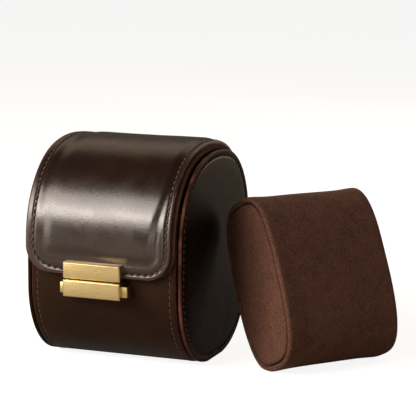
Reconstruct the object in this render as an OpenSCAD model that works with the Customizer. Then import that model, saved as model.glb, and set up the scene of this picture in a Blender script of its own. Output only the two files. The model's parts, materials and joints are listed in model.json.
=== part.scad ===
// Drum-shaped travel case for one wristwatch, with a flap lid, a push-button clasp and a loose cushion.
// X runs along the drum, the clasp is on the -Y side, Z is up, the origin is the middle of the flat base.

/* [Drum] */
// Height of the drum, from its flat base to the top of its end panels
drum_h = 100; // [85:1:120]
// Depth of the drum, front to back, without the lid
drum_d = 92.6; // [84:0.2:104]
// Width of the lid, along the drum
lid_w = 72; // [66:1:90]
// Radius of the drum's almost flat front and back
side_r = 600; // [300:10:900]
// Radius of the drum's shallow top and bottom
crown_r = 73.5; // [66:0.5:84]
// Radius of the drum's four corners, in side view
corner_r = 38; // [33:0.5:41]
// Depth of the flat strip that the drum stands on
base_flat_d = 20; // [12:1:26]

/* [Wall] */
// Thickness of the wall's outer leather
wall_leather_t = 1.5; // [1.2:0.1:1.8]
// Thickness of the wall's board
wall_board_t = 1.9; // [1.7:0.1:2.4]
// Thickness of the wall's lining and of its edge binding
wall_lining_t = 0.8; // [0.7:0.1:1.2]
// Height of the front and back walls' upper edges
wall_top = 77; // [72:0.5:80]
// How far the edge binding comes down the inside of the wall
binding_drop = 5; // [3:0.5:9]

/* [End panels] */
// Thickness of an end panel's leather
panel_t = 2; // [1.5:0.1:3]
// How far the left end panel stands out past the lid's leather
panel_out = 1.2; // [0.4:0.1:2]
// Width of the seam between the wall and the left end panel
seam_w = 0.3; // [0.2:0.05:0.8]
// Width of the groove between the wall and the right end panel
groove_w = 1.1; // [0.8:0.05:2.4]
// How far the wall and the lid's board and lining stand out past the lid's leather at the groove
lip_w = 1.6; // [0.8:0.1:2.4]
// How far an end board plugs into the wall strip
board_plug = 2; // [1.5:0.1:3]
// Thickness of an end panel's inner lining
panel_lining_t = 0.8; // [0.6:0.1:1.2]

/* [Lid] */
// Thickness of the lid's leather where it is not padded
lid_leather_t = 2.15; // [1.8:0.05:2.6]
// Thickness of the lid's board
lid_board_t = 0.9; // [0.9:0.1:1.3]
// Thickness of the lid's lining
lid_lining_t = 0.8; // [0.8:0.1:1.2]
// Thickness of the lid's foam
lid_foam_t = 0.9; // [0.6:0.1:1.2]
// Height of the lid's front edge
lid_front_z = 46; // [44:0.5:50]
// Radius of the lid's front corners and of the hinge strap's corners
lid_corner_r = 12; // [8:0.5:16]
// Width of the lid's stitched border, outside the foam
lid_border = 5; // [3.5:0.5:8]
// How far the lid's board stays inside its edge
lid_board_inset = 1.6; // [1:0.1:3]
// Height of the hinge fold
hinge_z = 78.4; // [75:0.2:84]
// Height of the hinge strap's lower edge
strap_low_z = 28; // [22:0.5:44]

/* [Clasp] */
// Width of the brass blocks
clasp_w = 28.4; // [26:0.2:34]
// How far the clasp's middle is from the drum's middle
clasp_x = -1; // [-4:0.5:4]
// How far the brass blocks stand out from the wall
clasp_d = 8.4; // [8:0.1:10]
// Height of the upper block
block_h = 7.6; // [7:0.1:9]
// Height of the lower block
housing_h = 7.9; // [7.6:0.1:9]
// Height of the lower block's underside
housing_z = 36.2; // [34:0.1:36.4]
// Width of the joint between the two blocks
clasp_gap = 0.7; // [0.4:0.1:1.2]
// Wall thickness of the lower block
housing_wall = 1; // [0.8:0.1:1.2]
// Thickness of the lower block's front wall
housing_front_t = 0.9; // [0.7:0.1:1]
// Bevel round the brass blocks' front faces
block_bevel = 0.5; // [0.3:0.1:0.8]

/* [Buttons] */
// How far a button stands out of the lower block
button_out = 2.7; // [2.2:0.1:4]
// Height of a button
button_h = 5; // [4.4:0.1:5.1]
// How far a button's front is set back from the block's front
button_setback = 2.8; // [2.6:0.1:3.2]
// How far a button travels when it is pressed
button_travel = 1.6; // [1.2:0.1:1.8]
// Bevel round a button's outer end
button_bevel = 0.3; // [0.2:0.05:0.5]
// Thickness of the sliding catch behind each button
catch_h = 3.4; // [3:0.1:3.6]

/* [Striker] */
// Thickness of the striker plate and its prongs
striker_t = 1.2; // [1:0.1:1.3]
// How far a prong reaches below the upper block
prong_len = 4.2; // [4:0.1:4.6]
// Width of a prong
prong_w = 2.6; // [2.2:0.1:3]
// How far a prong's outer side is from the clasp's middle
prong_x = 9.6; // [9:0.1:10]
// Depth of the notch that the catch enters
notch_d = 1; // [0.8:0.1:1.2]
// Height of the notch
notch_h = 1.1; // [1:0.1:1.3]
// Height of the hook under the notch
hook_h = 1.2; // [1:0.1:1.4]

/* [Spring] */
// Outer diameter of the coil spring
spring_d = 3; // [2.4:0.1:3.2]
// Thickness of the spring's wire
wire_d = 0.45; // [0.3:0.05:0.5]
// Number of turns of the spring
spring_turns = 6; // [4:1:7]
// Length of the gap between the two catches, where the spring sits
spring_len = 8; // [7:0.2:9]
// Diameter of the pegs that hold the spring's ends
peg_d = 1.6; // [1.2:0.1:1.8]
// Length of those pegs
peg_len = 1.5; // [1:0.1:2]

/* [Fixings] */
// Diameter of the screws' shafts
screw_d = 1.4; // [1.2:0.1:1.6]
// Diameter of the screws' heads
screw_head_d = 3.2; // [2.6:0.1:3.6]
// Thickness of the screws' heads
screw_head_t = 0.5; // [0.4:0.05:0.6]
// How far each screw is from the clasp's middle
screw_x = 8; // [7:0.1:8.2]
// Thickness of the washer plates
washer_t = 0.6; // [0.4:0.05:0.7]
// Height of the washer plates
washer_h = 5; // [4:0.1:5.6]
// How far the washer plates reach past the screws
washer_margin = 2.6; // [2:0.1:3.5]

/* [Cushion] */
// Length of the cushion along its own axis
cushion_l = 62.4; // [56:0.2:64]
// Depth of the cushion, front to back
cushion_d = 43; // [36:0.5:50]
// Height of the cushion as it stands
cushion_h = 82.4; // [74:0.2:86]
// How square the cushion's outline is: 2 is an ellipse
cushion_n = 2.93; // [2.3:0.01:3.6]
// How far the cover swells between the ends
cushion_crown = 1.2; // [0.6:0.1:2]
// How far the end faces swell
face_crown = 2; // [1:0.1:3]
// Thickness of the cushion's cover
cover_t = 1.6; // [1.2:0.1:2.4]
// Thickness of the welt round each end face
welt_d = 2.2; // [1.6:0.1:2.6]
// Where the cushion's middle is along X
cushion_x = 83.9; // [83.9:0.1:120]
// Where the cushion's middle is along Y
cushion_y = 13.4; // [0:0.1:30]
// Turn of the cushion about the vertical
cushion_turn = 50.9; // [45:0.1:60]
// Lean of the cushion, backwards
cushion_lean = 25.1; // [10:0.1:30]

/* [Clearances] */
// Gap between the lid and the wall
lid_gap = 0.3; // [0.25:0.05:0.5]
// Gap at the hinge fold, between the lid and the strap
hinge_gap = 0.3; // [0.2:0.05:0.6]
// Gap round an end board's plug
plug_gap = 0.1; // [0.05:0.05:0.3]
// Gap round the buttons, the catches and the spring
slide_gap = 0.1; // [0.05:0.05:0.2]
// Gap round the prongs, at their sides and behind them
prong_gap = 0.3; // [0.2:0.05:0.4]
// Gap between a screw and its hole
screw_gap = 0.05; // [0.02:0.01:0.1]

/* [Hidden] */

LEATHER = [0.20, 0.12, 0.09];
BOARD = [0.55, 0.47, 0.38];
SUEDE = [0.33, 0.22, 0.17];
FOAM = [0.80, 0.76, 0.68];
BRASS = [0.84, 0.71, 0.42];
STEEL = [0.62, 0.62, 0.62];

cut = 1;         // how far a cutting shape runs past what it cuts
arc_step = 3.5;  // degrees between an outline's points

// Side view of the drum: tangent arcs for the front, the corners and the top, mirrored, and a flat bottom
flat_drop = crown_r - sqrt(pow(crown_r, 2) - pow(base_flat_d/2, 2));
half_h = (drum_h + flat_drop)/2;
half_d = drum_d/2;
centre_z = half_h - flat_drop;
side_c = half_d - side_r;
crown_c = half_h - crown_r;

// Corner arc's centre: reach_side away from the side arc's centre, reach_crown away from the crown's
reach_side = side_r - corner_r;
reach_crown = crown_r - corner_r;
centres = [-side_c, crown_c];
centres_l = norm(centres);
along = (pow(reach_side, 2) - pow(reach_crown, 2) + pow(centres_l, 2))/(2*centres_l);
aside = sqrt(pow(reach_side, 2) - pow(along, 2));
corner_c = [side_c, 0] + (along*centres + aside*[-centres.y, centres.x])/centres_l;
side_a = atan2(corner_c.y, corner_c.x - side_c);
crown_a = atan2(corner_c.y - crown_c, corner_c.x);

half_w = lid_w/2;
wall_t = wall_leather_t + wall_board_t + wall_lining_t;
board_in = -wall_leather_t - wall_board_t;

// Ends of the wall strip, and the inner faces of the two end panels
panel_left_x = -half_w - panel_out + panel_t;
wall_left_x = panel_left_x + seam_w;
wall_right_x = half_w + lip_w;
panel_right_x = wall_right_x + groove_w;

// Layers of the lid, as distances outside the drum's outline
lid_in = lid_gap;
lid_lining_out = lid_in + lid_lining_t;
lid_board_out = lid_lining_out + lid_board_t;
lid_out = lid_board_out + lid_leather_t;

// Clasp, in the drum's frame: y values are negative towards the front
wall_y = -half_d;
clasp_y = wall_y - clasp_d;
lid_y = wall_y - lid_out;
housing_top = housing_z + housing_h;
block_z = housing_top + clasp_gap;
button_z = housing_z + housing_wall + slide_gap;
button_y = clasp_y + button_setback;
catch_top = housing_top - housing_wall - slide_gap;
catch_z = catch_top - catch_h;
striker_lead = 0.3;  // how far the striker's front is ahead of the buttons' fronts
striker_y = button_y - striker_lead;
catch_y = striker_y + striker_t + prong_gap;
shoulder_t = 1;      // thickness of the shoulder that stops a button behind its window
shoulder_x = clasp_w/2 - housing_wall - slide_gap;
boss_top = catch_z - slide_gap;
screw_z = (housing_z + boss_top)/2;
spring_z = (catch_z + catch_top)/2;
spring_y = (catch_y + wall_y - slide_gap)/2;
prong_low = block_z - prong_len;
notch_z = prong_low + hook_h;
bar_h = 2.2;         // height of the striker's bar inside the upper block
striker_top = block_z + bar_h;
washer_w = 2*(screw_x + washer_margin);
screw_rise = 2.3;    // how far the upper screws are above the middle of their block, clear of the striker
block_screw_z = block_z + block_h/2 + screw_rise;
block_skin = 1.6;    // brass left in front of the upper screws
boss_w = 3;          // width and depth of the posts that the lower screws go into
boss_d = 4.4;
boss_skin = 0.6;     // brass left in front of the lower screws
catch_screw_y = wall_y - boss_d + boss_skin;
block_screw_y = clasp_y + block_skin;
prong_room = 1.6;    // how far a prong swings forward while it leaves the mouth
nose_gap = 0.2;      // gap between a catch's nose and the back of its notch
nose_w = 2.4;        // width of that nose
nose_tip = prong_x - prong_w + notch_d - nose_gap;
press_gap = 0.3;     // gap left between a pressed button and its prong
button_in = prong_x + prong_gap + button_travel + press_gap;
joined = 0.5;        // how far the parts of one brass piece run into each other
board_y = wall_y - board_in;
washer_y = wall_y - lid_lining_out - washer_t;
strap_top = hinge_z - hinge_gap/2;
lid_back_z = hinge_z + hinge_gap/2;

function arc(c, r, a0, a1, from = 0) =
    let (n = max(2, 2*ceil(abs(a1 - a0)/arc_step/2)))
    [for (i = [from:n]) c + r*[cos(a0 + (a1 - a0)*i/n), sin(a0 + (a1 - a0)*i/n)]];

// Half of the drum's outline, moved outwards by off, from the bottom to the top
function half_outline(off) =
    let (flat_a = off > -flat_drop ? acos((crown_r - flat_drop)/(crown_r + off)) : 0)
    concat(
        arc([0, -crown_c], crown_r + off, flat_a - 90, -crown_a),
        arc([corner_c.x, -corner_c.y], corner_r + off, -crown_a, -side_a, 1),
        arc([side_c, 0], side_r + off, -side_a, side_a, 1),
        arc(corner_c, corner_r + off, side_a, crown_a, 1),
        arc([0, crown_c], crown_r + off, crown_a, 90, 1));

function outline(off) =
    let (half = half_outline(off), last = len(half) - 1, first = half[0].x < 0.001 ? 1 : 0)
    concat(half, [for (i = [last - 1:-1:first]) [-half[i].x, half[i].y]]);

// A side-view shape stretched along the drum, from x0 to x1, at the drum's height
module along_x(x0, x1) {
    translate([x0, 0, centre_z]) rotate([90, 0, 90]) linear_extrude(x1 - x0) children();
}

// A layer of the drum's shell between two distances outside its outline, from x0 to x1
module layer(x0, x1, off_in, off_out) difference() {
    along_x(x0, x1) polygon(outline(off_out));
    along_x(x0 - cut, x1 + cut) polygon(outline(off_in));
}

// What cuts away the front (-1) or the back (1) half below a height, and what cuts away all above one
module below(side, z) {
    translate([-lid_w, side > 0 ? 0 : -drum_d, z - 2*drum_h]) cube([2*lid_w, drum_d, 2*drum_h]);
}

module above(z) {
    translate([-lid_w, -drum_d, z]) cube([2*lid_w, 2*drum_d, drum_h]);
}

// What rounds off a lower corner of the lid or the strap, seen from the front
module corner_waste(side, half, z, r, y0, y1) {
    translate([0, y0, 0]) difference() {
        translate([side > 0 ? half - r : -half - cut, 0, z - cut]) cube([r + cut, y1 - y0, r + cut]);
        translate([side*(half - r), -cut, z + r]) rotate([-90, 0, 0])
            cylinder(r = r, h = y1 - y0 + 2*cut, $fn = 64);
    }
}

// Tub: the strip that makes the front wall, the bottom and the back

// Washer plate and screw heads need room in the board and the lining behind the lower block
module catch_screw_line(y0, y1, d) {
    for (side = [-1, 1])
        translate([clasp_x + side*screw_x, y0, screw_z]) rotate([-90, 0, 0])
            cylinder(d = d, h = y1 - y0, $fn = 32);
}

// A washer plate, or the room cut for one, from y on, at the height of its screws
module washer(y, z, t) {
    translate([clasp_x - washer_w/2, y, z - washer_h/2]) cube([washer_w, t, washer_h]);
}

module tub_leather() color(LEATHER) difference() {
    layer(wall_left_x, wall_right_x, -wall_leather_t, 0);
    above(wall_top - wall_lining_t);
    catch_screw_line(wall_y - cut, wall_y + wall_leather_t + cut, screw_d + 2*screw_gap);
}

module tub_board() color(BOARD) difference() {
    layer(wall_left_x, wall_right_x, board_in, -wall_leather_t);
    above(wall_top - wall_lining_t);
    catch_screw_line(wall_y - cut, board_y + cut, screw_d + 2*screw_gap);
    washer(board_y - washer_t, screw_z, cut);
}

module tub_lining() color(SUEDE) difference() {
    layer(wall_left_x, wall_right_x, -wall_t, board_in);
    above(wall_top - binding_drop);
    catch_screw_line(board_y - cut, board_y + screw_head_t, screw_head_d + 2*screw_gap);
}

module rim_binding() color(LEATHER) {
    difference() {
        layer(wall_left_x, wall_right_x, -wall_t, board_in);
        above(wall_top);
        below(-1, wall_top - binding_drop);
        below(1, wall_top - binding_drop);
    }
    difference() {
        layer(wall_left_x, wall_right_x, -wall_t, 0);
        above(wall_top);
        below(-1, wall_top - wall_lining_t);
        below(1, wall_top - wall_lining_t);
    }
}

// End panels

// A flat piece with the drum's outline, moved outwards by off
module end_piece(x0, x1, off) along_x(x0, x1) polygon(outline(off));

// How far the wall's linings and boards leave room for what plugs in
plug_off = -wall_t - plug_gap;
plug_left_x = wall_left_x + board_plug;
plug_right_x = wall_right_x - board_plug;

module end_panel_left() color(LEATHER) end_piece(panel_left_x - panel_t, panel_left_x, 0);
module end_panel_right() color(LEATHER) end_piece(panel_right_x, panel_right_x + panel_t, 0);
module end_board_left() color(BOARD) end_piece(panel_left_x, plug_left_x, plug_off);
module end_board_right() color(BOARD) end_piece(plug_right_x, panel_right_x, plug_off);
module end_lining_left() color(SUEDE) end_piece(plug_left_x, plug_left_x + panel_lining_t, plug_off);
module end_lining_right() color(SUEDE) end_piece(plug_right_x - panel_lining_t, plug_right_x, plug_off);

// Hinge strap on the tub's back: the lid's leather, stitched down, over a board that fills the lid's height

module strap_layer(off_in, off_out, inset) difference() {
    layer(inset - half_w, half_w - inset, off_in, off_out);
    below(-1, drum_h + lid_out + cut);
    below(1, strap_low_z + inset);
    above(strap_top);
    for (side = [-1, 1])
        corner_waste(side, half_w - inset, strap_low_z + inset, lid_corner_r - inset, 0, drum_d);
}

module strap_leather() color(LEATHER) difference() {
    strap_layer(0, lid_out, 0);
    strap_layer(-cut, lid_board_out, lid_board_inset);
}

module strap_board() color(BOARD) strap_layer(0, lid_board_out, lid_board_inset);

// Lid

// A layer of the lid, inset from its edges; lip is how far its right edge stands out past the leather's
module lid_layer(off_in, off_out, inset, lip = 0) difference() {
    layer(inset - half_w, half_w + lip - inset, off_in, off_out);
    below(-1, lid_front_z + inset);
    below(1, lid_back_z + inset);
    corner_waste(-1, half_w - inset, lid_front_z + inset, lid_corner_r - inset, -drum_d, 0);
    corner_waste(1, half_w + lip - inset, lid_front_z + inset, lid_corner_r - inset, -drum_d, 0);
}

module block_screw_line(y0, y1, d) {
    for (side = [-1, 1])
        translate([clasp_x + side*screw_x, y0, block_screw_z]) rotate([-90, 0, 0])
            cylinder(d = d, h = y1 - y0, $fn = 32);
}

module lid_leather() color(LEATHER) difference() {
    lid_layer(lid_board_out, lid_out, 0);
    lid_layer(lid_board_out - cut, lid_board_out + lid_foam_t, lid_border);
    block_screw_line(lid_y - cut, wall_y, screw_d + 2*screw_gap);
}

module lid_padding() color(FOAM) difference() {
    lid_layer(lid_board_out, lid_board_out + lid_foam_t, lid_border);
    block_screw_line(lid_y, wall_y, screw_d + 2*screw_gap);
}

module lid_board() color(BOARD) difference() {
    lid_layer(lid_lining_out, lid_board_out, lid_board_inset, lip_w);
    block_screw_line(lid_y, wall_y, screw_d + 2*screw_gap);
    washer(washer_y, block_screw_z, cut);
}

module lid_lining() color(SUEDE) difference() {
    lid_layer(lid_in, lid_board_out, 0, lip_w);
    lid_layer(lid_lining_out, lid_board_out + cut, lid_board_inset, lip_w);
    block_screw_line(washer_y, washer_y + washer_t + screw_head_t, screw_head_d + 2*screw_gap);
}

// Brass blocks: a box whose front face is bevelled all round, standing at y0 to y1

module bevelled_block(w, y0, y1, z0, h) {
    b = block_bevel;
    translate([clasp_x - w/2, y0 + b, z0]) cube([w, y1 - y0 - b, h]);
    translate([clasp_x, y0 + b, z0 + h/2]) rotate([90, 0, 0])
        linear_extrude(b, scale = [(w - 2*b)/w, (h - 2*b)/h]) square([w, h], center = true);
}

module clasp_block() color(BRASS) difference() {
    bevelled_block(clasp_w, clasp_y, lid_y, block_z, block_h);
    translate([clasp_x - prong_x, striker_y, block_z - cut])
        cube([2*prong_x, striker_t, striker_top - block_z + cut]);
    block_screw_line(block_screw_y, lid_y + cut, screw_d);
}

// Striker: a bar inside the upper block, with a notched prong near each end

module prong(side) {
    inner = prong_x - prong_w;
    difference() {
        translate([side > 0 ? inner : -prong_x, 0, prong_low])
            cube([prong_w, striker_t, striker_top - prong_low]);
        translate([side > 0 ? inner - cut : -inner - notch_d, -cut, notch_z])
            cube([notch_d + cut, striker_t + 2*cut, notch_h]);
    }
}

module striker() color(STEEL) translate([clasp_x, striker_y, 0]) {
    translate([-prong_x, 0, block_z]) cube([2*prong_x, striker_t, striker_top - block_z]);
    prong(-1);
    prong(1);
}

module clasp_washer_plate() color(STEEL) difference() {
    washer(washer_y, block_screw_z, washer_t);
    block_screw_line(washer_y - cut, washer_y + washer_t + cut, screw_d + 2*screw_gap);
}

module clasp_screws() color(STEEL) {
    block_screw_line(block_screw_y, washer_y + washer_t + screw_head_t/2, screw_d);
    block_screw_line(washer_y + washer_t, washer_y + washer_t + screw_head_t, screw_head_d);
}

// Lower block: hollow, open to the wall, with a mouth for each prong and a window for each button

module mouth(side) {
    x0 = prong_x - prong_w - prong_gap - notch_d;
    x1 = prong_x + prong_gap;
    translate([clasp_x + (side > 0 ? x0 : -x1), striker_y - prong_room, catch_top])
        cube([x1 - x0, striker_t + prong_room + prong_gap, housing_wall + slide_gap + cut]);
}

module window(side) {
    x = side > 0 ? shoulder_x : -clasp_w/2 - cut;
    translate([clasp_x + x, button_y - slide_gap, button_z - slide_gap])
        cube([housing_wall + slide_gap + cut, wall_y - button_y + slide_gap + cut, button_h + 2*slide_gap]);
}

module catch_housing() color(BRASS) difference() {
    union() {
        difference() {
            bevelled_block(clasp_w, clasp_y, wall_y, housing_z, housing_h);
            translate([clasp_x - clasp_w/2 + housing_wall, clasp_y + housing_front_t, housing_z + housing_wall])
                cube([clasp_w - 2*housing_wall, clasp_d, housing_h - 2*housing_wall]);
        }
        for (side = [-1, 1])
            translate([clasp_x + side*screw_x - boss_w/2, wall_y - boss_d, housing_z + housing_wall/2])
                cube([boss_w, boss_d, boss_top - housing_z - housing_wall/2]);
    }
    mouth(-1);
    mouth(1);
    window(-1);
    window(1);
    catch_screw_line(catch_screw_y, wall_y + cut, screw_d);
}

module catch_washer_plate() color(STEEL) difference() {
    washer(board_y - washer_t, screw_z, washer_t);
    catch_screw_line(board_y - washer_t - cut, board_y + cut, screw_d + 2*screw_gap);
}

module catch_screws() color(STEEL) {
    catch_screw_line(catch_screw_y, board_y + screw_head_t/2, screw_d);
    catch_screw_line(board_y, board_y + screw_head_t, screw_head_d);
}

// Button with its catch, drawn for the right side: x is measured from the clasp's middle

module button() {
    back = wall_y - slide_gap;
    out = clasp_w/2 + button_out;
    b = button_bevel;
    translate([button_in, button_y, button_z]) cube([out - b - button_in, back - button_y, button_h]);
    translate([out - b, (button_y + back)/2, button_z + button_h/2]) rotate([0, 90, 0])
        linear_extrude(b, scale = [(button_h - 2*b)/button_h, (back - button_y - 2*b)/(back - button_y)])
            square([button_h, back - button_y], center = true);
    translate([shoulder_x - shoulder_t, button_y, button_z])
        cube([shoulder_t - slide_gap, back - button_y, catch_top - slide_gap - button_z]);
    translate([spring_len/2, catch_y, catch_z])
        cube([button_in - spring_len/2 + joined, back - catch_y, catch_h]);
    translate([nose_tip - nose_w, striker_y, notch_z + slide_gap])
        cube([nose_w, catch_y - striker_y + joined, notch_h - 2*slide_gap]);
    translate([spring_len/2 - peg_len, spring_y, spring_z]) rotate([0, 90, 0])
        cylinder(d = peg_d, h = peg_len + joined, $fn = 32);
}

module button_left() color(BRASS) translate([clasp_x, 0, 0]) mirror([1, 0, 0]) button();
module button_right() color(BRASS) translate([clasp_x, 0, 0]) button();

// Coil spring between the two catches: rings of a round wire along a helix

wire_sides = 6;
rings_per_turn = 12;
spring_rings = spring_turns*rings_per_turn;
helix_r = (spring_d - wire_d)/2;
helix_l = spring_len - wire_d - 2*slide_gap;

function helix(t) = [(t - 0.5)*helix_l, helix_r*cos(360*spring_turns*t), helix_r*sin(360*spring_turns*t)];

// Ring i of the wire, square to the helix
function wire_ring(i) =
    let (t = i/spring_rings, a = 360*spring_turns*t, rise = atan(helix_l/(2*PI*helix_r*spring_turns)),
         outwards = [0, cos(a), sin(a)], side = [cos(rise), sin(rise)*sin(a), -sin(rise)*cos(a)])
    [for (k = [0:wire_sides - 1])
        helix(t) + wire_d/2*(cos(360*k/wire_sides)*outwards + sin(360*k/wire_sides)*side)];

coil_pts = [for (i = [0:spring_rings]) helix(i/spring_rings)];
coil_gap = min([for (i = [0:spring_rings]) for (j = [i + rings_per_turn/2:1:spring_rings])
    norm(coil_pts[i] - coil_pts[j])]) - wire_d;
echo(least_gap_in_spring = coil_gap);

// A closed tube through rings of points that all have the same number of points, faces outwards
module tube(rings) {
    n = len(rings[0]);
    last = len(rings) - 1;
    polyhedron(
        points = [for (ring = rings) for (p = ring) p],
        faces = concat(
            [for (i = [0:last - 1]) for (k = [0:n - 1]) [i*n + k, i*n + (k + 1)%n, (i + 1)*n + k]],
            [for (i = [0:last - 1]) for (k = [0:n - 1])
                [i*n + (k + 1)%n, (i + 1)*n + (k + 1)%n, (i + 1)*n + k]],
            [[for (k = [n - 1:-1:0]) k]],
            [[for (k = [0:n - 1]) last*n + k]]));
}

module catch_spring() color(STEEL)
    translate([clasp_x, spring_y, spring_z]) tube([for (i = [0:spring_rings]) wire_ring(i)]);

// Cushion: a rounded prism with a swelling cover, domed end faces and a welt round each

ring_n = 36;

function power(v, e) = sign(v)*pow(abs(v), e);

// A point of the cushion's outline, at k of ring_n, and that point moved in by off, square to the outline
function outline_pt(k) =
    let (a = 360*k/ring_n)
    [cushion_d/2*power(cos(a), 2/cushion_n), cushion_h/2*power(sin(a), 2/cushion_n)];

function outwards_at(k) =
    let (ahead = outline_pt(k + 0.5) - outline_pt(k - 0.5))
    [ahead.y, -ahead.x]/norm(ahead);

function section(off) = [for (k = [0:ring_n - 1]) outline_pt(k) - off*outwards_at(k)];

function ring_at(x, off) = [for (p = section(off)) [x, p.x, p.y]];

cushion_low = min([for (p = section(-cushion_crown)) p.y*cos(cushion_lean) - p.x*sin(cushion_lean)]);
welt_x = cushion_l/2 - face_crown - welt_d/2;
face_x = cushion_l/2 - face_crown;

module place_cushion() {
    translate([cushion_x, cushion_y, -cushion_low])
        rotate([0, 0, cushion_turn]) rotate([-cushion_lean, 0, 0]) children();
}

// Cover: a band whose outside swells in the middle and draws in to the welts, round the plain core
swell_steps = 8;

function swell(t) = cushion_crown*(1 - pow(abs(2*t - 1), 2.4));

module cushion_cover() color(SUEDE) place_cushion() {
    x0 = welt_x - welt_d/2;
    n = ring_n;
    outer = [for (i = [0:swell_steps]) ring_at(-x0 + 2*x0*i/swell_steps, -swell(i/swell_steps))];
    inner = [ring_at(x0, cover_t), ring_at(-x0, cover_t)];
    rings = concat(outer, inner);
    count = len(rings);
    polyhedron(
        points = [for (ring = rings) for (p = ring) p],
        faces = concat(
            [for (i = [0:count - 1]) for (k = [0:n - 1]) [i*n + k, i*n + (k + 1)%n, ((i + 1)%count)*n + k]],
            [for (i = [0:count - 1]) for (k = [0:n - 1])
                [i*n + (k + 1)%n, ((i + 1)%count)*n + (k + 1)%n, ((i + 1)%count)*n + k]]));
}

module cushion_core() color(FOAM) place_cushion()
    translate([-face_x, 0, 0]) rotate([90, 0, 90]) linear_extrude(2*face_x) polygon(section(cover_t));

// End face: a shallow dome on the core's end, inside the welt
dome_steps = 4;
dome_flat = 0.25;  // size of the dome's flat middle, as a share of the face

module cushion_face(side) {
    rim = section(cover_t);
    mirror([side < 0 ? 1 : 0, 0, 0])
        tube([for (i = [0:dome_steps])
            let (t = i/dome_steps, size = 1 - (1 - dome_flat)*t, x = face_x + face_crown*sin(90*t))
            [for (p = rim) [x, size*p.x, size*p.y]]]);
}

module cushion_face_left() color(SUEDE) place_cushion() cushion_face(-1);
module cushion_face_right() color(SUEDE) place_cushion() cushion_face(1);

// Welt: a round cord in the seam between the cover and the end face
module cushion_welt(side) {
    n = 6;
    m = ring_n;
    r = welt_d/2;
    pts = [for (k = [0:m - 1])
        let (out = outwards_at(k), mid = outline_pt(k) + (r - cover_t)*out)
        for (j = [0:n - 1])
            let (a = 360*j/n, p = mid + r*cos(a)*out)
            [side*(welt_x + r*sin(a)), p.x, p.y]];
    polyhedron(
        points = pts,
        faces = concat(
            [for (k = [0:m - 1]) for (j = [0:n - 1]) [k*n + j, k*n + (j + 1)%n, ((k + 1)%m)*n + j]],
            [for (k = [0:m - 1]) for (j = [0:n - 1])
                [k*n + (j + 1)%n, ((k + 1)%m)*n + (j + 1)%n, ((k + 1)%m)*n + j]]));
}

module cushion_welt_left() color(SUEDE) place_cushion() cushion_welt(-1);
module cushion_welt_right() color(SUEDE) place_cushion() cushion_welt(1);

tub_leather();
tub_board();
tub_lining();
rim_binding();
end_panel_left();
end_panel_right();
end_board_left();
end_board_right();
end_lining_left();
end_lining_right();
strap_leather();
strap_board();
catch_housing();
catch_washer_plate();
catch_screws();
catch_spring();
button_left();
button_right();
lid_leather();
lid_padding();
lid_board();
lid_lining();
clasp_block();
striker();
clasp_washer_plate();
clasp_screws();
cushion_core();
cushion_cover();
cushion_face_left();
cushion_face_right();
cushion_welt_left();
cushion_welt_right();
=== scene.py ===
"""Looks of a drum-shaped leather travel case: hide with painted edges, stitching, a brass clasp and a suede
cushion. Sizes are in millimetres up to the point where a mesh is made, and metres from there on."""

import json
import math

import bmesh
import bpy
from mathutils import Matrix, Vector, noise
from mathutils.bvhtree import BVHTree
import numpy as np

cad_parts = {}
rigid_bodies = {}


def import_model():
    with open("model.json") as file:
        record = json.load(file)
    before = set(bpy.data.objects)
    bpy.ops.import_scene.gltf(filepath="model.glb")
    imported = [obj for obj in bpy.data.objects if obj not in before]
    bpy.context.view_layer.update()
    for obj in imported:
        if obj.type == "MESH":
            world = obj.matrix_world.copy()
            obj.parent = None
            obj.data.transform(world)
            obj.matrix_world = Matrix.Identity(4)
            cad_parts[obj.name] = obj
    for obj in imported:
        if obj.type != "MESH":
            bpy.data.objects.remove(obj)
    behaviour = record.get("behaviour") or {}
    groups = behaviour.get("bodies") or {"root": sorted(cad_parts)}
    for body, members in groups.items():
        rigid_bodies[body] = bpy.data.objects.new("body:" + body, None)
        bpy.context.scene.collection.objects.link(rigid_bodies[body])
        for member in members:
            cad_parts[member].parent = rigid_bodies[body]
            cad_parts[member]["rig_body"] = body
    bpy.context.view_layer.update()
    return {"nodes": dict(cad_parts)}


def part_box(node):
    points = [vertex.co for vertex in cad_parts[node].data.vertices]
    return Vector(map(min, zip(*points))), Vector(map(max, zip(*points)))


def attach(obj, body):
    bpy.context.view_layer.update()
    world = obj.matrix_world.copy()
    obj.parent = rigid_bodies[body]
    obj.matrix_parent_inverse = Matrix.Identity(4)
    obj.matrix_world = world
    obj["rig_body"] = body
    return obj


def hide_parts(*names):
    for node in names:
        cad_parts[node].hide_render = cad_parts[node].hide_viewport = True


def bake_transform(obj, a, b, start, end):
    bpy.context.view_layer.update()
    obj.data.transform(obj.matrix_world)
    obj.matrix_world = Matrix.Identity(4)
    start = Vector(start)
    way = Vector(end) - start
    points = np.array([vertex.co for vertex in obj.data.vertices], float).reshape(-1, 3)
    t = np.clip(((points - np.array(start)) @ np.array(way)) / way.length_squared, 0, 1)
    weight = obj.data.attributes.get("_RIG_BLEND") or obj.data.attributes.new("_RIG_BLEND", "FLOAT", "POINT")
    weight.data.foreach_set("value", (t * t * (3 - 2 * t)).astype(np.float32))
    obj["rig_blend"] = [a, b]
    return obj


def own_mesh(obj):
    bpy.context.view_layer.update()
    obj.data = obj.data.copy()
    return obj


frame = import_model()

MM = 0.001

# -------------------- sizes shared with the solids, in millimetres

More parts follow.
